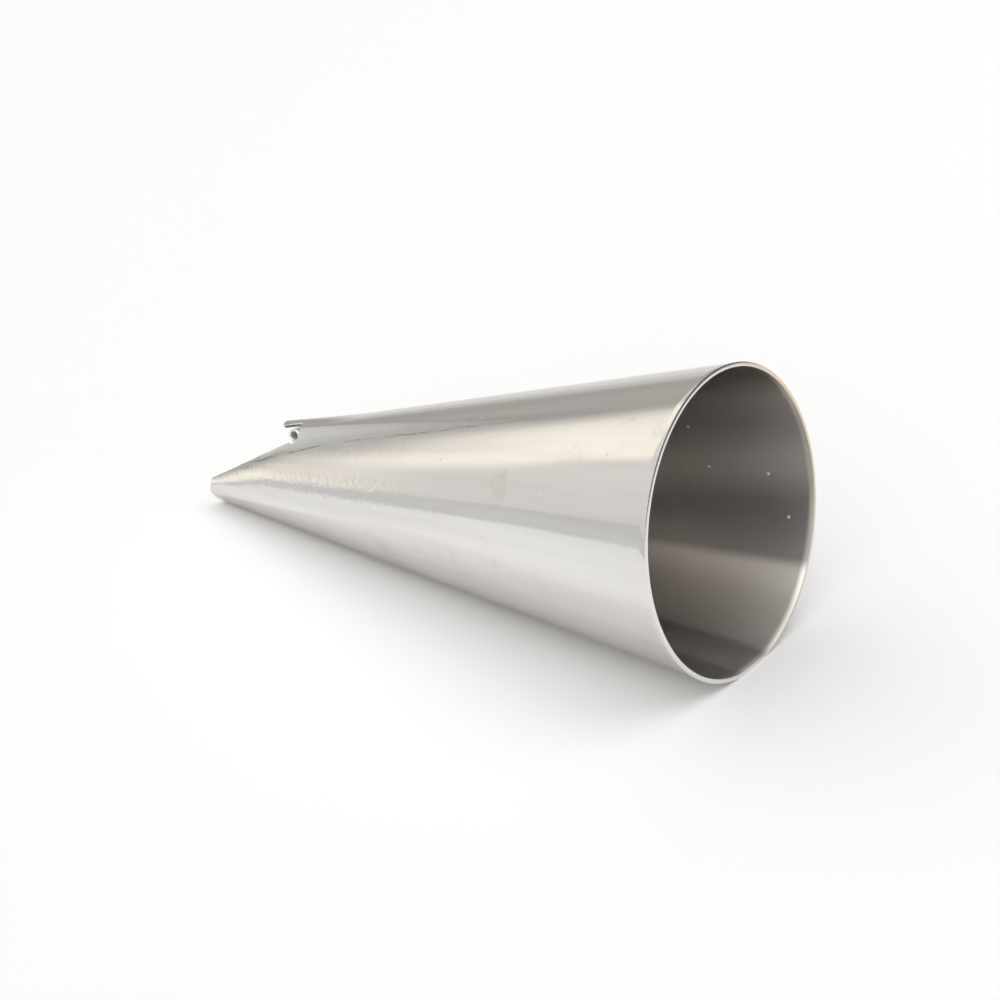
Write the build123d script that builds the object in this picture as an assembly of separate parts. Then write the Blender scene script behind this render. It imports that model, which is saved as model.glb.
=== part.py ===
"""Small piping nozzle: a cone of thin stainless sheet whose end is pressed into a slanted mouth.

One seamless sheet, as the real nozzle is.  The cone is built about its own axis, wide rim at
z = 0 and mouth at the top of that axis, then laid on its side on the plane z = 0, where it
rests on the wide rim and on the long lip of the mouth.  All sizes are in millimetres.
"""
import os
from math import asin, atan, cos, degrees, hypot, radians, sin

from build123d import *

# The drawn cone
RIM_DIAMETER = 18.0
LIP_LENGTH = 36.1
LIP_DIAMETER = 4.17
SHEET = 0.35
RIM_BREAK = 0.1

# Where the two side facets start, and where the mouth is trimmed: the height of the long lower
# lip, the length of the slant back from it, and how far below the top of the sheet the slant
# meets the back of the mouth
PRESS_START = 7.5
LIP_TOP = -0.4
MOUTH_LENGTH = 6.5
MOUTH_BACK_DROP = 0.8

# The tongue that stands out over the back of the mouth
TONGUE_REACH = 1.75
TONGUE_WIDTH = 1.0
TONGUE_NOSE = 0.3

# The rolled edge across the back of the mouth, under the tongue: how far its middle lies ahead
# of the back and below the top of the sheet, its outside, its bore and its length across
ROLL_AHEAD = 0.2
ROLL_DROP = 0.52
ROLL_RADIUS = 0.4
ROLL_WALL = 0.15
ROLL_SPAN = 2.5

# One overrun for every cut
OVERRUN = 1.0

# How the nozzle lies: degrees that the mouth is turned about the axis, and the depth of the
# narrow flat along its lowest line that keeps it from rolling
LIE_TURN = 10.1
REST_FLAT = 0.08


# The pressing, from PRESS_START to the lip.  The flat-sided top narrows from its first half
# width to its last, the foot of each side facet moves down round the cone (degrees from the
# top), and the facet keeps less and less of its round.
TOP_START = 4.65
TOP_END = 0.42
TOP_POWER = 1.4
FOOT_START = 97.0
FOOT_END = 124.0
FOOT_POWER = 2.2
ROUND_END = 0.42
ROUND_POWER = 1.3
SECTION_COUNT = 14

# The ridge of the beak: how far it stays above the lip and, at the back of the mouth, above the
# cone, and how softly it leaves the cone
RIDGE_RISE = 0.85
RIDGE_LIFT = 0.56
RIDGE_BLEND = 0.2


MOUTH_BACK = LIP_LENGTH - MOUTH_LENGTH


def cone_radius(z):
    """Outer radius of the plain cone at a place along its axis."""
    return (RIM_DIAMETER + (LIP_DIAMETER - RIM_DIAMETER) * z / LIP_LENGTH) / 2


def pressed_share(z):
    """Share of the way from the start of the pressing to the lip."""
    way = (z - PRESS_START) / (LIP_LENGTH - PRESS_START)
    return min(max(way, 0), 1)


def top_height(z):
    """Height above the axis of the section's top: the cone, then the falling ridge."""
    cone = cone_radius(z)
    lowest = LIP_TOP + RIDGE_RISE
    fall = (cone_radius(MOUTH_BACK) + RIDGE_LIFT - lowest) / MOUTH_LENGTH
    ridge = lowest + fall * (LIP_LENGTH - z)
    middle, half = (cone + ridge) / 2, (cone - ridge) / 2
    return middle - hypot(half, RIDGE_BLEND * pressed_share(z))


def turned(radius, angle):
    """Point in a section at an angle in degrees from its top; X is up, Y is sideways."""
    return Vector(radius * cos(radians(angle)), radius * sin(radians(angle)))


def arc_centre(a, b, c):
    """Centre of the circle through three points of a section."""
    d = 2 * (a.X * (b.Y - c.Y) + b.X * (c.Y - a.Y) + c.X * (a.Y - b.Y))
    sa, sb, sc = a.X**2 + a.Y**2, b.X**2 + b.Y**2, c.X**2 + c.Y**2
    x = (sa * (b.Y - c.Y) + sb * (c.Y - a.Y) + sc * (a.Y - b.Y)) / d
    y = (sa * (c.X - b.X) + sb * (a.X - c.X) + sc * (b.X - a.X)) / d
    return Vector(x, y)


def mitre(point, first, second, depth):
    """Corner moved inward by a depth measured square to both of its outward normals."""
    return point - (first + second) * (depth / (1 + first.dot(second)))


def section(z, depth):
    """Closed face of the section at z, drawn a sheet's depth inside the outer surface.

    The bottom is an arc of the cone.  Each side is a facet that runs from its foot on the cone
    up to a shoulder.  The top is an arc as round as the cone, which drops below it at the beak.
    """
    pressed = pressed_share(z)
    radius, top_z = cone_radius(z), top_height(z)
    half_top = TOP_END + (TOP_START - TOP_END) * (1 - pressed) ** TOP_POWER
    foot_angle = FOOT_START + (FOOT_END - FOOT_START) * pressed**FOOT_POWER
    round_share = 1 - (1 - ROUND_END) * pressed**ROUND_POWER

    top, top_centre = Vector(top_z, 0), Vector(top_z - radius, 0)
    shoulder_angle = degrees(asin(half_top / radius))
    shoulder = top_centre + turned(radius, shoulder_angle)
    foot = turned(radius, foot_angle)
    full_round = radius - radius * cos(radians((foot_angle - shoulder_angle) / 2))
    chord = (shoulder - foot).normalized()
    outward = Vector(-chord.Y, chord.X)
    middle = (foot + shoulder) / 2 + outward * (full_round * round_share)
    centre = arc_centre(foot, middle, shoulder)

    bottom_in = Vector(-radius + depth, 0)
    foot_in = mitre(foot, foot.normalized(), (foot - centre).normalized(), depth)
    middle_in = middle - (middle - centre).normalized() * depth
    shoulder_in = mitre(
        shoulder, (shoulder - top_centre).normalized(), (shoulder - centre).normalized(), depth
    )
    top_in = top - (top - top_centre).normalized() * depth

    def other(point):
        return Vector(point.X, -point.Y)

    arcs = [
        ThreePointArc(other(foot_in), bottom_in, foot_in),
        ThreePointArc(foot_in, middle_in, shoulder_in),
        ThreePointArc(shoulder_in, top_in, other(shoulder_in)),
        ThreePointArc(other(shoulder_in), other(middle_in), other(foot_in)),
    ]
    return Plane.XY.offset(z) * make_face(arcs)


def pressed_cone(depth):
    """Solid of the plain cone and its pressed end, drawn a sheet's depth inside the outside."""
    plain = Pos(0, 0, -OVERRUN) * Cone(
        cone_radius(-OVERRUN) - depth,
        cone_radius(PRESS_START) - depth,
        PRESS_START + OVERRUN,
        align=(Align.CENTER, Align.CENTER, Align.MIN),
    )
    step = (LIP_LENGTH + OVERRUN - PRESS_START) / (SECTION_COUNT - 1)
    pressed = loft([section(PRESS_START + index * step, depth) for index in range(SECTION_COUNT)])
    return plain + pressed


def rim_trim():
    """Block that squares off the wide rim."""
    side = 2 * RIM_DIAMETER
    return Box(side, side, side, align=(Align.CENTER, Align.CENTER, Align.MAX))


def mouth_trim():
    """Everything beyond the mouth's edge, seen from the side, less the tongue."""
    far = LIP_LENGTH + RIM_DIAMETER
    back_top = top_height(MOUTH_BACK) - MOUTH_BACK_DROP
    outline = Polyline(
        (-RIM_DIAMETER, LIP_LENGTH),
        (LIP_TOP, LIP_LENGTH),
        (back_top, MOUTH_BACK),
        (RIM_DIAMETER, MOUTH_BACK),
        (RIM_DIAMETER, far),
        (-RIM_DIAMETER, far),
        close=True,
    )
    profile = Plane.XZ * make_face(outline)
    beyond = extrude(profile, RIM_DIAMETER, both=True)
    tongue = Pos(back_top - SHEET, 0, MOUTH_BACK + TONGUE_REACH) * Box(
        RIM_DIAMETER,
        TONGUE_WIDTH,
        2 * TONGUE_REACH,
        align=(Align.MIN, Align.CENTER, Align.MAX),
    )
    nose = tongue.faces().sort_by(Axis.Z)[-1].edges().filter_by(Axis.X)
    return beyond - fillet(nose, TONGUE_NOSE)


def across_mouth(radius, length):
    """Round bar across the back of the mouth, about the middle of the rolled edge."""
    bar = Rot(90, 0, 0) * Cylinder(radius, length)
    place = MOUTH_BACK + ROLL_AHEAD
    return Pos(top_height(place) - ROLL_DROP, 0, place) * bar


def nozzle_body():
    """The whole nozzle about its own axis: pressed sheet, mouth, tongue and rolled edge."""
    body = pressed_cone(0) - pressed_cone(SHEET) - rim_trim()
    rim = body.edges().group_by(Axis.Z)[0]
    body = chamfer(rim, RIM_BREAK)
    body -= mouth_trim()
    body += across_mouth(ROLL_RADIUS, ROLL_SPAN)
    body -= across_mouth(ROLL_RADIUS - ROLL_WALL, ROLL_SPAN + OVERRUN)
    return body


def laid_down(body):
    """The nozzle on its side, tip towards -X, with the box's bottom centre at the origin."""
    half_angle = degrees(atan((RIM_DIAMETER - LIP_DIAMETER) / 2 / LIP_LENGTH))
    lying = Rot(0, -90 - half_angle, 0) * Rot(0, 0, LIE_TURN) * body
    side = 2 * (LIP_LENGTH + RIM_DIAMETER)
    floor = lying.bounding_box().min.Z + REST_FLAT
    below = Pos(0, 0, floor) * Box(side, side, side, align=(Align.CENTER, Align.CENTER, Align.MAX))
    lying -= below
    middle = lying.bounding_box().center()
    return Pos(-middle.X, -middle.Y, -floor) * lying


os.makedirs("parts", exist_ok=True)
nozzle = laid_down(nozzle_body())
nozzle.label = "nozzle_body"
export_step(nozzle, "parts/nozzle_body.step")
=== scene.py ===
from math import asin, atan, cos, hypot, radians, sin

import bmesh
import bpy
from mathutils import Matrix, Vector


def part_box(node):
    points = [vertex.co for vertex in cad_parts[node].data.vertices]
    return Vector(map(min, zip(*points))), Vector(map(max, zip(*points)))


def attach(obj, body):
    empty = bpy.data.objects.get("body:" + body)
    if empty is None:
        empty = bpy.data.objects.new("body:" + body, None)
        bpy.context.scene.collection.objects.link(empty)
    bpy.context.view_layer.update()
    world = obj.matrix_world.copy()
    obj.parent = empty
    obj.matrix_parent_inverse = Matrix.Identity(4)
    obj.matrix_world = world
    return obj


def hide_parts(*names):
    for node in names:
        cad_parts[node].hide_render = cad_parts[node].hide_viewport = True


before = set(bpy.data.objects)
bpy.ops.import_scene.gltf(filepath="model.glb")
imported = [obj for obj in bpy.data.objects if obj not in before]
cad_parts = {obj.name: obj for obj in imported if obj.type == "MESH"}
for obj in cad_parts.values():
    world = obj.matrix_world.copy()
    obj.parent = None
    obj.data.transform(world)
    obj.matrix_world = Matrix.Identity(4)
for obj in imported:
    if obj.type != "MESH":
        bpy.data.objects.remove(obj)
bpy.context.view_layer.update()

# The nozzle: one piece of thin stainless sheet, drawn into a plain cone without a seam, then
# pressed from both sides towards its narrow end, so that it closes to a long flat-sided beak.
# It is rolled up from a grid about its own axis, wide rim at z = 0, with x up and y sideways.
MM = 0.001
TINY = 0.001 * MM
RIM_RADIUS = 9.0 * MM
LIP_RADIUS = 2.085 * MM
LIP_LENGTH = 36.1 * MM
SHEET = 0.25 * MM
PRESS_START = 7.5 * MM

# Pressed shape: half the width of its top, the degrees from the top at which each side's facet
# ends, how much of its round a facet keeps, and the ridge that falls towards the lip.
TOP_START = 4.65 * MM
TOP_END = 0.42 * MM
TOP_POWER = 1.4
FOOT_START, FOOT_END = 97.0, 124.0
FOOT_POWER = 2.2
ROUND_END = 0.42
ROUND_POWER = 1.3
RIDGE_END = 0.45 * MM
RIDGE_FALL = 0.5292
RIDGE_BLEND = 0.2 * MM

# Faces across the top, each side and the bottom, and along the nozzle, closer near the mouth.
TOP_COLUMNS, SIDE_COLUMNS, BOTTOM_COLUMNS, ROWS = 40, 56, 90, 130
ROW_POWER = 1.5


def cone_radius(z):
    return RIM_RADIUS + (LIP_RADIUS - RIM_RADIUS) * z / LIP_LENGTH


def pressed_share(z):
    return min(max((z - PRESS_START) / (LIP_LENGTH - PRESS_START), 0), 1)


def top_height(z):
    cone, ridge = cone_radius(z), RIDGE_END + RIDGE_FALL * (LIP_LENGTH - z)
    return (cone + ridge) / 2 - hypot((cone - ridge) / 2, RIDGE_BLEND * pressed_share(z))


def round_about(centre, radius, start, end, share):
    """Point at a share of the way along an arc, by its angles in radians from the top."""
    angle = start + (end - start) * share
    return Vector((centre[0] + radius * cos(angle), centre[1] + radius * sin(angle)))


def outline_point(z, column):
    """Point of the nozzle's outline at z: x is its height, y its side, from the far foot round."""
    pressed, radius, top = pressed_share(z), cone_radius(z), top_height(z)
    half_top = TOP_END + (TOP_START - TOP_END) * (1 - pressed) ** TOP_POWER
    foot_turn = radians(FOOT_START + (FOOT_END - FOOT_START) * pressed**FOOT_POWER)
    shoulder_turn = asin(half_top / radius)
    if column < BOTTOM_COLUMNS:
        share = column / BOTTOM_COLUMNS
        return round_about((0, 0), radius, foot_turn, radians(360) - foot_turn, share)
    column -= BOTTOM_COLUMNS
    middle_column = SIDE_COLUMNS + TOP_COLUMNS / 2
    mirrored = column < middle_column
    from_foot = column if mirrored else 2 * middle_column - column
    if from_foot >= SIDE_COLUMNS:
        share = (from_foot - SIDE_COLUMNS) / (TOP_COLUMNS / 2)
        point = round_about((top - radius, 0), radius, shoulder_turn, 0, share)
    else:
        foot = round_about((0, 0), radius, foot_turn, 0, 0)
        shoulder = round_about((top - radius, 0), radius, shoulder_turn, 0, 0)
        chord = shoulder - foot
        kept = 1 - (1 - ROUND_END) * pressed**ROUND_POWER
        bulge = kept * radius * (1 - cos((foot_turn - shoulder_turn) / 2))
        outward = Vector((-chord.y, chord.x)).normalized()
        bow = (chord.length**2 / 4 + bulge**2) / (2 * bulge)
        half_turn = asin(min(chord.length / 2 / bow, 1))
        turn = half_turn * (2 * from_foot / SIDE_COLUMNS - 1)
        middle = (foot + shoulder) / 2 - outward * (bow - bulge)
        point = middle + outward * bow * cos(turn) + chord.normalized() * bow * sin(turn)
    return Vector((point.x, -point.y)) if mirrored else point


sheet_mesh = bmesh.new()
columns = BOTTOM_COLUMNS + 2 * SIDE_COLUMNS + TOP_COLUMNS
bmesh.ops.create_grid(sheet_mesh, x_segments=columns, y_segments=ROWS, size=1)
for vertex in sheet_mesh.verts:
    column = round((vertex.co.x + 1) / 2 * columns)
    z = LIP_LENGTH * (1 - ((1 - vertex.co.y) / 2) ** ROW_POWER)
    point = outline_point(z, column % columns)
    vertex.co = (point.x, point.y, z)
bmesh.ops.remove_doubles(sheet_mesh, verts=sheet_mesh.verts, dist=TINY)

# The mouth is trimmed along a slant, seen from the side, and a short tongue of the sheet is
# left standing out over its back, a little crowned along its middle. Both sides of the sheet
# are cut out round the rolled edge, whose ends show there.
LIP_TOP = -0.4 * MM
MOUTH_BACK = 29.6 * MM
MOUTH_BACK_TOP = top_height(MOUTH_BACK) - 0.8 * MM
TONGUE_LENGTH = 31.2 * MM
TONGUE_WIDTH = 1.0 * MM
NOSE_CORNER = 0.1 * MM
CROWN_START = MOUTH_BACK - 4 * MM
CROWN_RISE = 0.04
CROWN_HALF_WIDTH = 1.1 * MM
CROWN_DEPTH = 0.4 * MM
ROLL_Z = MOUTH_BACK
ROLL_X = top_height(ROLL_Z) - 0.52 * MM
ROLL_RADIUS = 0.4 * MM
NOTCH_SIDES = 18
NEAR_MOUTH = 1 * MM

for vertex in sheet_mesh.verts:
    x, y, z = vertex.co
    if z > CROWN_START and x > top_height(z) - CROWN_DEPTH:
        raised = cone_radius(z) - top_height(z) + CROWN_RISE * (z - CROWN_START)
        share = min(abs(y) / CROWN_HALF_WIDTH, 1)
        vertex.co.x += raised * (1 - share * share * (3 - 2 * share))

slant = Vector((LIP_LENGTH - MOUTH_BACK, 0, MOUTH_BACK_TOP - LIP_TOP))
lip_place = Vector((LIP_TOP, 0, LIP_LENGTH))
roll_place = Vector((ROLL_X, 0, ROLL_Z))
cuts = [(lip_place, slant), ((0, 0, MOUTH_BACK), (0, 0, 1)), ((0, 0, TONGUE_LENGTH), (0, 0, 1))]
for side in (1, -1):
    cuts.append(((0, side * TONGUE_WIDTH / 2, 0), (0, 1, 0)))
    cuts.append(((0, side * TONGUE_WIDTH / 2, TONGUE_LENGTH - NOSE_CORNER), (0, side, 1)))
notch_turns = [radians(360 * index / NOTCH_SIDES) for index in range(NOTCH_SIDES)]
notch = [Vector((sin(turn), 0, cos(turn))) for turn in notch_turns]
cuts += [(roll_place + out * ROLL_RADIUS, out) for out in notch]
for place, outward in cuts:
    near_mouth = [f for f in sheet_mesh.faces if f.calc_center_median().z > MOUTH_BACK - NEAR_MOUTH]
    near_mouth = [f for f in near_mouth if f.calc_center_median().x > LIP_TOP - NEAR_MOUTH]
    edges = {e for f in near_mouth for e in f.edges}
    verts = {v for f in near_mouth for v in f.verts}
    bmesh.ops.bisect_plane(
        sheet_mesh, geom=[*verts, *edges, *near_mouth], dist=TINY / 10,
        plane_co=place, plane_no=outward,
    )
beyond = []
for face in sheet_mesh.faces:
    middle = face.calc_center_median()
    over_slant = (middle - lip_place).dot(slant) > 0
    off_tongue = abs(middle.y) > TONGUE_WIDTH / 2
    past_tongue = middle.z > TONGUE_LENGTH
    past_corner = abs(middle.y) + middle.z > TONGUE_WIDTH / 2 + TONGUE_LENGTH - NOSE_CORNER
    in_notch = off_tongue and all((middle - roll_place).dot(out) < ROLL_RADIUS for out in notch)
    past_mouth = over_slant and middle.z > MOUTH_BACK
    if in_notch or past_mouth and (off_tongue or past_tongue or past_corner):
        beyond.append(face)
bmesh.ops.delete(sheet_mesh, geom=beyond, context="FACES")
bmesh.ops.recalc_face_normals(sheet_mesh, faces=sheet_mesh.faces)

# The nozzle is laid on its side with the mouth towards -X, turned a little about its axis, and
# rests on the solid's narrow flat.
LIE_TURN = 10.1
half_angle = atan((RIM_RADIUS - LIP_RADIUS) / LIP_LENGTH)
lying = Matrix.Rotation(radians(LIE_TURN), 4, "Z")
lying = Matrix.Rotation(radians(-90) - half_angle, 4, "Y") @ lying
cad_low, cad_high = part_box("nozzle_body")
points = [lying @ v.co for v in sheet_mesh.verts]
low = Vector([min(p[i] for p in points) for i in range(3)])
high = Vector([max(p[i] for p in points) for i in range(3)])
shift = (cad_low + cad_high) / 2 - (low + high) / 2
lying = Matrix.Translation((shift.x, shift.y, cad_high.z - high.z)) @ lying
bmesh.ops.transform(sheet_mesh, matrix=lying, verts=sheet_mesh.verts)
for vertex in sheet_mesh.verts:
    vertex.co.z = max(vertex.co.z, cad_low.z)

EDGE_ROUND = 0.06 * MM
SHARP = radians(60)


def piece(name, mesh):
    """Object of a finished bmesh, at the origin."""
    made = bpy.data.objects.new(name, bpy.data.meshes.new(name))
    bpy.context.scene.collection.objects.link(made)
    mesh.to_mesh(made.data)
    mesh.free()
    return made


nozzle = piece("nozzle_sheet", sheet_mesh)
nozzle.data.polygons.foreach_set("use_smooth", [True] * len(nozzle.data.polygons))
wall = nozzle.modifiers.new("wall", "SOLIDIFY")
wall.thickness = SHEET
wall.offset = -1
wall.use_even_offset = True
wall.material_offset = 1
wall.material_offset_rim = 2
trimmed_edge = nozzle.modifiers.new("trimmed edge", "BEVEL")
trimmed_edge.width = EDGE_ROUND
trimmed_edge.segments = 2
trimmed_edge.limit_method = "ANGLE"
trimmed_edge.angle_limit = SHARP
even_shading = nozzle.modifiers.new("even shading", "WEIGHTED_NORMAL")
even_shading.keep_sharp = True

# Stainless steel. The polish, the wear and the dust follow the nozzle's own length and round,
# which this group works out from a place on the object, in millimetres and degrees.
lengthwise = bpy.data.node_groups.new("place on the nozzle", "ShaderNodeTree")
lengthwise.interface.new_socket("Position", in_out="INPUT", socket_type="NodeSocketVector")
for output in ("Along", "Around", "Out"):
    lengthwise.interface.new_socket(output, in_out="OUTPUT", socket_type="NodeSocketFloat")
group_in = lengthwise.nodes.new("NodeGroupInput")
group_out = lengthwise.nodes.new("NodeGroupOutput")
from_rim = lengthwise.nodes.new("ShaderNodeVectorMath")
from_rim.operation = "SUBTRACT"
from_rim.inputs[1].default_value = lying.translation
lengthwise.links.new(group_in.outputs["Position"], from_rim.inputs[0])
own_axes = []
for column in range(3):
    dot = lengthwise.nodes.new("ShaderNodeVectorMath")
    dot.operation = "DOT_PRODUCT"
    dot.inputs[1].default_value = lying.col[column].xyz / MM
    lengthwise.links.new(from_rim.outputs[0], dot.inputs[0])
    own_axes.append(dot.outputs["Value"])
angle = lengthwise.nodes.new("ShaderNodeMath")
angle.operation = "ARCTAN2"
lengthwise.links.new(own_axes[1], angle.inputs[0])
lengthwise.links.new(own_axes[0], angle.inputs[1])
in_degrees = lengthwise.nodes.new("ShaderNodeMath")
in_degrees.operation = "DEGREES"
lengthwise.links.new(angle.outputs[0], in_degrees.inputs[0])
off_axis = lengthwise.nodes.new("ShaderNodeCombineXYZ")
lengthwise.links.new(own_axes[0], off_axis.inputs[0])
lengthwise.links.new(own_axes[1], off_axis.inputs[1])
distance = lengthwise.nodes.new("ShaderNodeVectorMath")
distance.operation = "LENGTH"
lengthwise.links.new(off_axis.outputs[0], distance.inputs[0])
lengthwise.links.new(own_axes[2], group_out.inputs["Along"])
lengthwise.links.new(in_degrees.outputs[0], group_out.inputs["Around"])
lengthwise.links.new(distance.outputs["Value"], group_out.inputs["Out"])


class Steel:
    """A metal material and the few node forms that its marks are made with."""

    def __init__(self, name):
        self.material = bpy.data.materials.new(name)
        self.material.use_nodes = True
        self.nodes, self.links = self.material.node_tree.nodes, self.material.node_tree.links
        self.shader = self.nodes["Principled BSDF"]
        self.give("Metallic", 1.0)
        self.position = self.nodes.new("ShaderNodeTexCoord").outputs["Object"]
        place = self.nodes.new("ShaderNodeGroup")
        place.node_tree = lengthwise
        self.links.new(self.position, place.inputs[0])
        self.along, self.around, self.out = place.outputs
        self.turn = self.math("ABSOLUTE", self.around)

    def put(self, value, socket):
        if isinstance(value, bpy.types.NodeSocket):
            self.links.new(value, socket)
        elif isinstance(value, tuple):
            socket.default_value = (*value, 1)
        else:
            socket.default_value = value

    def give(self, name, value):
        self.put(value, self.shader.inputs[name])

    def math(self, operation, *values):
        node = self.nodes.new("ShaderNodeMath")
        node.operation = operation
        for value, socket in zip(values, node.inputs):
            self.put(value, socket)
        return node.outputs[0]

    def product(self, first, *others):
        for other in others:
            first = self.math("MULTIPLY", first, other)
        return first

    def ramp(self, value, start, end):
        """0 at the start, 1 at the end, with a soft rise; the start may be the higher one."""
        node = self.nodes.new("ShaderNodeMapRange")
        node.interpolation_type = "SMOOTHSTEP"
        for socket, amount in zip(node.inputs, (value, start, end)):
            self.put(amount, socket)
        return node.outputs[0]

    def stretched(self, along_scale, around_scale):
        """Coordinate that runs slowly along the nozzle and fast round it, or the reverse."""
        joined = self.nodes.new("ShaderNodeCombineXYZ")
        self.put(self.product(self.along, along_scale), joined.inputs[0])
        self.put(self.product(self.around, around_scale), joined.inputs[1])
        return joined.outputs[0]

    def noise(self, vector, scale, detail=2.0, roughness=0.5):
        node = self.nodes.new("ShaderNodeTexNoise")
        given = {"Vector": vector, "Scale": scale, "Detail": detail, "Roughness": roughness}
        for name, value in given.items():
            self.put(value, node.inputs[name])
        return node.outputs[0]

    def from_cells(self, scale):
        """Distance to the nearest of many scattered points."""
        node = self.nodes.new("ShaderNodeTexVoronoi")
        self.put(self.position, node.inputs["Vector"])
        self.put(scale, node.inputs["Scale"])
        return node.outputs["Distance"]

    def tinted(self, under, colour, mask):
        mix = self.nodes.new("ShaderNodeMix")
        mix.data_type = "RGBA"
        for index, value in ((0, mask), (6, under), (7, colour)):
            self.put(value, mix.inputs[index])
        return mix.outputs[2]

    def bump(self, height, distance, normal=None):
        node = self.nodes.new("ShaderNodeBump")
        self.put(distance, node.inputs["Distance"])
        self.put(height, node.inputs["Height"])
        if normal is not None:
            self.links.new(normal, node.inputs["Normal"])
        return node.outputs[0]


# Outside: a satin polish with fine streaks along the length, crinkles where the sheet was
# pressed, a thin ragged line of painted shade along the crease above them, small pits, and
# faint handling marks.
STEEL_GREY = (0.775, 0.76, 0.735)
STREAK_GREY = (0.735, 0.72, 0.69)
HANDLED_GREY = (0.63, 0.60, 0.56)
CREASE_SHADE_GREY = (0.46, 0.45, 0.43)
POLISHED_TINT = (0.82, 0.81, 0.80)
LEAST_ROUGHNESS, STREAK_ROUGHNESS, MARK_ROUGHNESS = 0.02, 0.05, 0.08
MARK_SCALE, JAG_SCALE, CRINKLE_SCALE, PIT_SCALE = 420.0, 900.0, 3000.0, 900.0
STREAK_DEPTH, CRINKLE_DEPTH, PIT_DEPTH = 0.0008 * MM, 0.011 * MM, 0.010 * MM

# The crease starts at this many degrees from the top, moves down by so many for each
# millimetre, and bends down faster beyond a place along the nozzle.
CREASE_AT_RIM, CREASE_FALL = 27.5, 0.5
CREASE_BEND_START, CREASE_BEND = 24.0, 0.25
CREASE_JAG = 5.0
CREASE_EDGE = (0.09, 0.02)
CREASE_ALONG = (5.0, 20.0)
CRINKLED_ALONG = (9.0, 24.0)
CRINKLED_BELOW, CRINKLED_ABOVE = (66.0, 80.0), (118.0, 104.0)

polished = Steel("polished stainless")
streaks = polished.noise(polished.stretched(0.10, 0.9), 1.0, 4.0, 0.6)
broad_streaks = polished.noise(polished.stretched(0.05, 0.12), 1.0)
marks = polished.noise(polished.position, MARK_SCALE, 4.0, 0.6)
wear = polished.math("MULTIPLY_ADD", streaks, STREAK_ROUGHNESS, polished.product(marks, MARK_ROUGHNESS))
polished.give("Roughness", polished.math("ADD", wear, LEAST_ROUGHNESS))

grey = polished.tinted(STEEL_GREY, STREAK_GREY, polished.ramp(broad_streaks, 0.35, 0.65))
handled = polished.product(polished.ramp(marks, 0.58, 0.74), 0.5)
grey = polished.tinted(grey, HANDLED_GREY, handled)
late = polished.math("MAXIMUM", polished.math("SUBTRACT", polished.along, CREASE_BEND_START), 0.0)
late_bend = polished.math("POWER", late, 2.0)
crease_turn = polished.math("MULTIPLY_ADD", polished.along, CREASE_FALL, CREASE_AT_RIM)
crease_turn = polished.math("MULTIPLY_ADD", late_bend, CREASE_BEND, crease_turn)
jag = polished.noise(polished.position, JAG_SCALE, 3.0)
jag = polished.math("MULTIPLY_ADD", jag, CREASE_JAG, -CREASE_JAG / 2)
from_crease = polished.math("SUBTRACT", polished.math("ADD", polished.turn, jag), crease_turn)
from_crease = polished.math("RADIANS", polished.math("ABSOLUTE", from_crease))
# A thin dark line of painted shade along the crease, broken up by the marks.
crease_shade = polished.product(
    polished.ramp(polished.product(from_crease, polished.out), *CREASE_EDGE),
    polished.ramp(polished.along, *CREASE_ALONG),
    polished.ramp(marks, 0.42, 0.60),
)
polished.give("Base Color", polished.tinted(grey, CREASE_SHADE_GREY, crease_shade))
polished.give("Specular Tint", POLISHED_TINT)

crinkled = polished.product(
    polished.ramp(polished.along, *CRINKLED_ALONG),
    polished.ramp(polished.turn, *CRINKLED_BELOW),
    polished.ramp(polished.turn, *CRINKLED_ABOVE),
)
crinkles = polished.noise(polished.position, CRINKLE_SCALE, 3.0, 0.65)
crinkle_height = polished.product(crinkles, polished.math("MULTIPLY_ADD", crinkled, 0.9, 0.1))
surface = polished.bump(streaks, STREAK_DEPTH)
surface = polished.bump(crinkle_height, CRINKLE_DEPTH, surface)
pits = polished.ramp(polished.from_cells(PIT_SCALE), 0.0, 0.09)
polished.give("Normal", polished.bump(pits, PIT_DEPTH, surface))

# Inside: duller and browner, with painted shade along the sides near the rim, painted light
# making it paler towards the bottom and a painted highlight streak there, with drawing marks
# along the length and specks of dust.
DULL_BROWN = (0.58, 0.555, 0.53)
SMEARED_BROWN = (0.50, 0.475, 0.45)
SIDE_SHADE_BROWN = (0.36, 0.345, 0.33)
BOTTOM_LIGHT_PALE = (0.80, 0.76, 0.73)
BOTTOM_HIGHLIGHT = (0.86, 0.83, 0.80)
DUST_WHITE = (0.85, 0.84, 0.82)
DULL_TINT = (0.45, 0.44, 0.43)
DULL_ROUGHNESS, DRAWN_ROUGHNESS, SMEAR_ROUGHNESS = 0.28, 0.03, 0.06
SMEAR_SCALE, DUSTY_SCALE, SPECK_SCALE = 260.0, 330.0, 780.0
DRAWN_DEPTH = 0.0003 * MM
SIDE_SHADE_START, SIDE_SHADE_ALONG = (38.0, 62.0), (14.0, 2.0)
BOTTOM_LIGHT_START = (117.0, 125.0)
HIGHLIGHT_START, HIGHLIGHT_END = (117.0, 124.0), (136.0, 127.0)

dull = Steel("dull stainless")
drawn = dull.noise(dull.stretched(0.12, 0.5), 1.0, 3.0)
smears = dull.noise(dull.position, SMEAR_SCALE, 4.0, 0.6)
rough = dull.math("MULTIPLY_ADD", drawn, DRAWN_ROUGHNESS, dull.product(smears, SMEAR_ROUGHNESS))
dull.give("Roughness", dull.math("ADD", rough, DULL_ROUGHNESS))

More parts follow.
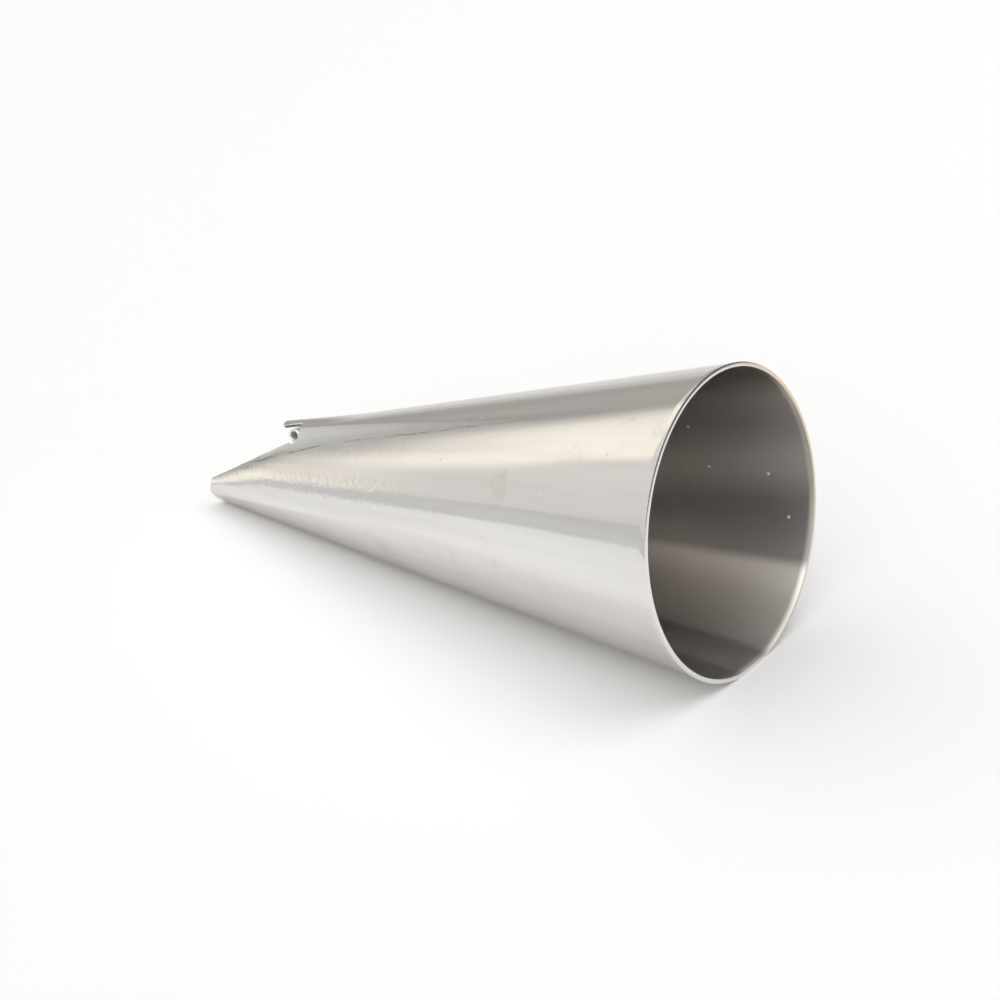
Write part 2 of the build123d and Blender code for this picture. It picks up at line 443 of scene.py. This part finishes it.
dusty = dull.ramp(dull.noise(dull.position, DUSTY_SCALE), 0.55, 0.60)
dust = dull.product(dull.ramp(dull.from_cells(SPECK_SCALE), 0.10, 0.05), dusty)
# Painted shade: darker along the sides near the rim.
side_shade = dull.product(dull.ramp(dull.turn, *SIDE_SHADE_START), dull.ramp(dull.along, *SIDE_SHADE_ALONG))
# Painted highlight: a pale streak low down inside.
highlight_streak = dull.product(dull.ramp(dull.turn, *HIGHLIGHT_START), dull.ramp(dull.turn, *HIGHLIGHT_END))
brown = dull.tinted(DULL_BROWN, SMEARED_BROWN, dull.ramp(smears, 0.40, 0.62))
brown = dull.tinted(brown, SIDE_SHADE_BROWN, side_shade)
# Painted light: paler towards the bottom.
brown = dull.tinted(brown, BOTTOM_LIGHT_PALE, dull.ramp(dull.turn, *BOTTOM_LIGHT_START))
brown = dull.tinted(brown, BOTTOM_HIGHLIGHT, highlight_streak)
dull.give("Base Color", dull.tinted(brown, DUST_WHITE, dust))
dull.give("Specular Tint", DULL_TINT)
dull.give("Metallic", dull.math("SUBTRACT", 1.0, dust))
dull.give("Normal", dull.bump(drawn, DRAWN_DEPTH))

# Cut edges: bright, with a painted warm reflection towards the side of the rim away from the camera.
CUT_BRIGHT = (0.78, 0.78, 0.79)
CUT_WARM_REFLECTION = (0.74, 0.58, 0.40)
CUT_ROUGHNESS = 0.22
CUT_SCALE = 3000.0
CUT_DEPTH = 0.006 * MM

cut = Steel("cut stainless")
# A painted warm reflection on the edges' far side.
far_side_reflection = cut.ramp(cut.math("SINE", cut.math("RADIANS", cut.around)), -0.2, 0.8)
cut.give("Base Color", cut.tinted(CUT_BRIGHT, CUT_WARM_REFLECTION, far_side_reflection))
cut.give("Roughness", CUT_ROUGHNESS)
cut.give("Normal", cut.bump(cut.noise(cut.position, CUT_SCALE), CUT_DEPTH))

for metal in (polished, dull, cut):
    nozzle.data.materials.append(metal.material)
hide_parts("nozzle_body")
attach(nozzle, "root")

# The rolled edge: the back of the mouth is curled under the tongue into a short tube of the
# same sheet, whose open ends show at both sides of the beak. Its outside is bright, and its
# bore is left as it was curled, rough and grey.
ROLL_WALL = 0.15 * MM
ROLL_SPAN = 2.9 * MM
ROLL_STEPS = 40
ROLL_ROUND = 0.05 * MM
BORE_GREY = (0.62, 0.61, 0.60)
BORE_ROUGHNESS = 0.75
BORE_METALLIC = 0.45
GRAIN_SCALE = 5200.0
GRAIN_DEPTH = 0.012 * MM

roll_mesh = bmesh.new()
bore = ROLL_RADIUS - ROLL_WALL
ends = (-ROLL_SPAN / 2, ROLL_SPAN / 2)
profile = [(ROLL_RADIUS, ends[0]), (ROLL_RADIUS, ends[1]), (bore, ends[1]), (bore, ends[0])]
ring = [roll_mesh.verts.new((ROLL_X + out, y, ROLL_Z)) for out, y in profile]
outline = [roll_mesh.edges.new((ring[i - 1], ring[i])) for i in range(len(ring))]
bmesh.ops.spin(
    roll_mesh, geom=ring + outline, cent=roll_place, axis=(0, 1, 0),
    angle=radians(360), steps=ROLL_STEPS, use_merge=True,
)
corners = [e for e in roll_mesh.edges if abs(e.verts[0].co.y - e.verts[1].co.y) < TINY]
corners = [e for e in corners if e.calc_face_angle(0) > SHARP]
bmesh.ops.bevel(
    roll_mesh, geom=corners, offset=ROLL_ROUND, offset_type="OFFSET", segments=3, profile=0.5,
    affect="EDGES", material=-1,
)
bmesh.ops.recalc_face_normals(roll_mesh, faces=roll_mesh.faces)
for face in roll_mesh.faces:
    middle = face.calc_center_median()
    from_axis = hypot(middle.x - ROLL_X, middle.z - ROLL_Z)
    face.material_index = 1 if from_axis < bore + 10 * TINY else 0
bmesh.ops.transform(roll_mesh, matrix=lying, verts=roll_mesh.verts)
rolled_edge = piece("rolled_edge", roll_mesh)
rolled_edge.data.polygons.foreach_set("use_smooth", [True] * len(rolled_edge.data.polygons))

unpolished = Steel("unpolished stainless")
grain = unpolished.noise(unpolished.position, GRAIN_SCALE, 3.0)
unpolished.give("Base Color", BORE_GREY)
unpolished.give("Roughness", BORE_ROUGHNESS)
unpolished.give("Metallic", BORE_METALLIC)
unpolished.give("Normal", unpolished.bump(grain, GRAIN_DEPTH))

for metal in (cut, unpolished):
    rolled_edge.data.materials.append(metal.material)
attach(rolled_edge, "root")

# The table: a white sheet of paper, which keeps the nozzle's soft shadow and fills the picture.
# It ends a little beyond the mouth, along a line that is turned like the left side of the
# picture, where the metal shows the grey table under it.
PAPER_SIZE = 2000 * MM
PAPER_THICKNESS = 0.2 * MM
PAPER_END = -45 * MM
PAPER_TURN = 40.2
PAPER_WHITE = 0.95
TABLE_GREY = 0.72
TABLE_ROUGHNESS = 0.9


def laid_sheet(name, start_x, turn, level, tone):
    mesh = bmesh.new()
    bmesh.ops.create_grid(mesh, x_segments=1, y_segments=1, size=PAPER_SIZE / 2)
    place = Matrix.Translation((start_x + PAPER_SIZE / 2, 0, level))
    place = Matrix.Rotation(radians(turn), 4, "Z") @ place
    bmesh.ops.transform(mesh, matrix=place, verts=mesh.verts)
    sheet = piece(name, mesh)
    material = bpy.data.materials.new(name)
    material.use_nodes = True
    shader = material.node_tree.nodes["Principled BSDF"]
    shader.inputs["Base Color"].default_value = (tone, tone, tone, 1)
    shader.inputs["Roughness"].default_value = TABLE_ROUGHNESS
    shader.inputs["Specular IOR Level"].default_value = 0.0
    sheet.data.materials.append(material)


laid_sheet("white paper", PAPER_END, PAPER_TURN, 0, PAPER_WHITE)
laid_sheet("grey table", -PAPER_SIZE / 2, 0, -PAPER_THICKNESS, TABLE_GREY)

# The room round the table, as the metal shows it, by compass direction in degrees from -X
# (positive towards the camera's side) and height above the horizon: a grey wall behind, a
# pale one at the mouth's end, a warm soft box between them, a white ceiling and a dark front.
world = bpy.data.worlds.new("studio")
bpy.context.scene.world = world
world.use_nodes = True
room, room_links = world.node_tree.nodes, world.node_tree.links


def room_put(value, socket):
    if isinstance(value, bpy.types.NodeSocket):
        room_links.new(value, socket)
    elif isinstance(value, tuple):
        socket.default_value = (*value, 1)
    else:
        socket.default_value = value


def room_math(operation, *values):
    node = room.new("ShaderNodeMath")
    node.operation = operation
    for socket, value in zip(node.inputs, values):
        room_put(value, socket)
    return node.outputs[0]


def over(value, edge, soft):
    """0 below an edge and 1 above it, with a soft margin in degrees at each side."""
    node = room.new("ShaderNodeMapRange")
    node.interpolation_type = "SMOOTHSTEP"
    for name, amount in (("Value", value), ("From Min", edge - soft), ("From Max", edge + soft)):
        room_put(amount, node.inputs[name])
    return node.outputs[0]


def under(value, edge, soft):
    return room_math("SUBTRACT", 1.0, over(value, edge, soft))


def between(value, start, end, soft):
    return room_math("MULTIPLY", over(value, start, soft), under(value, end, soft))


def painted(below, colour, mask):
    mix = room.new("ShaderNodeMix")
    mix.data_type = "RGBA"
    for index, value in ((0, mask), (6, below), (7, colour)):
        room_put(value, mix.inputs[index])
    return mix.outputs[2]


direction = room.new("ShaderNodeTexCoord").outputs["Generated"]
parts = room.new("ShaderNodeSeparateXYZ")
room_links.new(direction, parts.inputs[0])
minus_x = room_math("MULTIPLY", parts.outputs["X"], -1.0)
minus_y = room_math("MULTIPLY", parts.outputs["Y"], -1.0)
compass = room_math("DEGREES", room_math("ARCTAN2", minus_y, minus_x))
height = room_math("DEGREES", room_math("ARCSINE", parts.outputs["Z"]))

# The walls. Each span is a start, an end and a softness in degrees, each top or change of tone
# a height and a softness.
FRONT = (0.10, 0.095, 0.09)
END_TONE, END_TONE_ABOVE = (0.80, 0.79, 0.78), (0.84, 0.83, 0.81)
END_SPAN, END_TOP, END_CHANGE = (-66, 60, 6), (66, 8), (8, 12)
BACK_TONE, BACK_TONE_BELOW = (0.52, 0.51, 0.49), (0.80, 0.79, 0.77)
BACK_SPAN, BACK_TOP, BACK_CHANGE = (-75, -16, 8), (27, 3), (4.5, 4)

end_wall = room_math("MULTIPLY", between(compass, *END_SPAN), under(height, *END_TOP))
back_wall = room_math("MULTIPLY", between(compass, *BACK_SPAN), under(height, *BACK_TOP))
low_on_it = room_math("MULTIPLY", back_wall, under(height, *BACK_CHANGE))
view = painted(FRONT, painted(END_TONE, END_TONE_ABOVE, over(height, *END_CHANGE)), end_wall)
view = painted(view, BACK_TONE, back_wall)
view = painted(view, BACK_TONE_BELOW, low_on_it)

# The soft box, between the walls. Its lower edge rises away from the camera and bends down
# beside the mouth's end, and its tone follows the degrees above that edge, from the grey
# under it through a dark line to the warm white of its cloth.
EDGE_HEIGHT = 21.3
EDGE_SLOPE, EDGE_CURVE = 0.33, 0.009
BEND_START = 5.0
BEND_SLOPE, BEND_CURVE = 0.2, 0.0066
SIDE_PLACE = 7.0
SIDE_RISE, SIDE_FALL = 0.17, 0.6
LOW_EDGE = 9.6
UNDER_START, UNDER_SLOPE, UNDER_MOST = -26.0, 0.085, 2.2
BOX_END, BOX_END_SLOPE, BOX_END_SOFT = 26.6, 0.63, 1.8
BOX_START, BOX_SPAN = (-28, 4), (-7, 60, 3)
BOX_TONES = [
    (-3.0, (0.81, 0.81, 0.80)),
    (-2.0, (0.69, 0.69, 0.68)),
    (-1.2, (0.57, 0.57, 0.56)),
    (-0.5, (0.50, 0.50, 0.49)),
    (0.0, (0.45, 0.45, 0.44)),
    (0.4, (0.54, 0.53, 0.52)),
    (0.8, (0.64, 0.63, 0.61)),
    (1.2, (0.73, 0.71, 0.68)),
    (1.8, (0.92, 0.88, 0.82)),
    (2.4, (1.08, 1.02, 0.94)),
    (4.5, (1.22, 1.15, 1.05)),
]
BOX_LOW, BOX_HIGH = -5.0, 5.0

edge = room_math("MULTIPLY", compass, room_math("MULTIPLY_ADD", compass, EDGE_CURVE, EDGE_SLOPE))
over_edge = room_math("SUBTRACT", height, room_math("SUBTRACT", EDGE_HEIGHT, edge))
under_share = room_math("MULTIPLY", room_math("SUBTRACT", compass, UNDER_START), UNDER_SLOPE)
under_share = room_math("MINIMUM", room_math("MAXIMUM", under_share, 0), UNDER_MOST)
under_edge = room_math("MULTIPLY", room_math("MINIMUM", over_edge, 0), under_share)
over_edge = room_math("ADD", room_math("MAXIMUM", over_edge, 0), under_edge)
bend = room_math("MAXIMUM", room_math("SUBTRACT", compass, BEND_START), 0)
bend = room_math("MULTIPLY", bend, room_math("MULTIPLY_ADD", bend, BEND_CURVE, BEND_SLOPE))
over_edge = room_math("ADD", over_edge, bend)
beside = room_math("SUBTRACT", compass, SIDE_PLACE)
rise = room_math("MULTIPLY", room_math("MAXIMUM", beside, 0), SIDE_RISE)
fall = room_math("MULTIPLY", room_math("MINIMUM", beside, 0), SIDE_FALL)
over_edge = room_math("MAXIMUM", over_edge, room_math("ADD", rise, fall))
over_edge = room_math("MAXIMUM", over_edge, room_math("SUBTRACT", LOW_EDGE, height))
box_tone = room.new("ShaderNodeValToRGB")
tone_place = room_math("DIVIDE", room_math("SUBTRACT", over_edge, BOX_LOW), BOX_HIGH - BOX_LOW)
room_links.new(tone_place, box_tone.inputs[0])
while len(box_tone.color_ramp.elements) < len(BOX_TONES):
    box_tone.color_ramp.elements.new(0.5)
for element, (degrees_over, tone) in zip(box_tone.color_ramp.elements, BOX_TONES):
    element.position = (degrees_over - BOX_LOW) / (BOX_HIGH - BOX_LOW)
    element.color = (*tone, 1)
end_rise = room_math("MULTIPLY", room_math("MAXIMUM", height, 0), BOX_END_SLOPE)
past_end = room_math("SUBTRACT", compass, room_math("SUBTRACT", BOX_END, end_rise))
within_box = room_math("MULTIPLY", under(past_end, 0, BOX_END_SOFT), over(compass, *BOX_START))
within_box = room_math("MULTIPLY", within_box, between(height, *BOX_SPAN))
view = painted(view, box_tone.outputs["Color"], within_box)

# The ceiling, and a bright screen at the camera's left, which lightens the shadow.
CEILING_TONE, CEILING_START = (1.06, 1.06, 1.06), (44, 8)
SCREEN_TONE, SCREEN_SPAN, SCREEN_FOOT = (1.50, 1.50, 1.50), (62, 130, 8), (0, 6)

view = painted(view, CEILING_TONE, over(height, *CEILING_START))
screen = room_math("MULTIPLY", between(compass, *SCREEN_SPAN), over(height, *SCREEN_FOOT))
view = painted(view, SCREEN_TONE, screen)
room_links.new(view, room["Background"].inputs["Color"])
room["Background"].inputs["Strength"].default_value = 1.0

# One wide lamp above the far side, whose shadow falls towards the camera.
LAMP_SIZE = 300 * MM
LAMP_POWER = 0.32
LAMP_PLACE = Vector((150, 120, 350)) * MM

lamp = bpy.data.lights.new("lamp", "AREA")
lamp.shape = "SQUARE"
lamp.size = LAMP_SIZE
lamp.energy = LAMP_POWER
lamp_object = bpy.data.objects.new("lamp", lamp)
bpy.context.scene.collection.objects.link(lamp_object)
lamp_object.location = LAMP_PLACE
lamp_object.rotation_euler = LAMP_PLACE.to_track_quat("Z", "Y").to_euler()

# The camera looks down on the wide rim from the place that the photograph was taken from.
CAMERA_PLACE = Vector((114.3632, -170.1434, 114.5741)) * MM
LOOKING = Vector((-0.48823, 0.73476, -0.47092))
UPWARDS = Vector((-0.26301, 0.39065, 0.88215))
LENS = 144.0
FILM_WIDTH = 36.0
NEAREST = 5 * MM

camera_data = bpy.data.cameras.new("camera")
camera_data.lens = LENS
camera_data.sensor_width = FILM_WIDTH
camera_data.clip_start = NEAREST
camera = bpy.data.objects.new("camera", camera_data)
bpy.context.scene.collection.objects.link(camera)
backwards = -LOOKING.normalized()
rightwards = UPWARDS.cross(backwards).normalized()
upwards = backwards.cross(rightwards)
facing = Matrix((rightwards, upwards, backwards)).transposed().to_4x4()
camera.matrix_world = Matrix.Translation(CAMERA_PLACE) @ facing
bpy.context.scene.camera = camera
bpy.context.scene.view_settings.view_transform = "Standard"
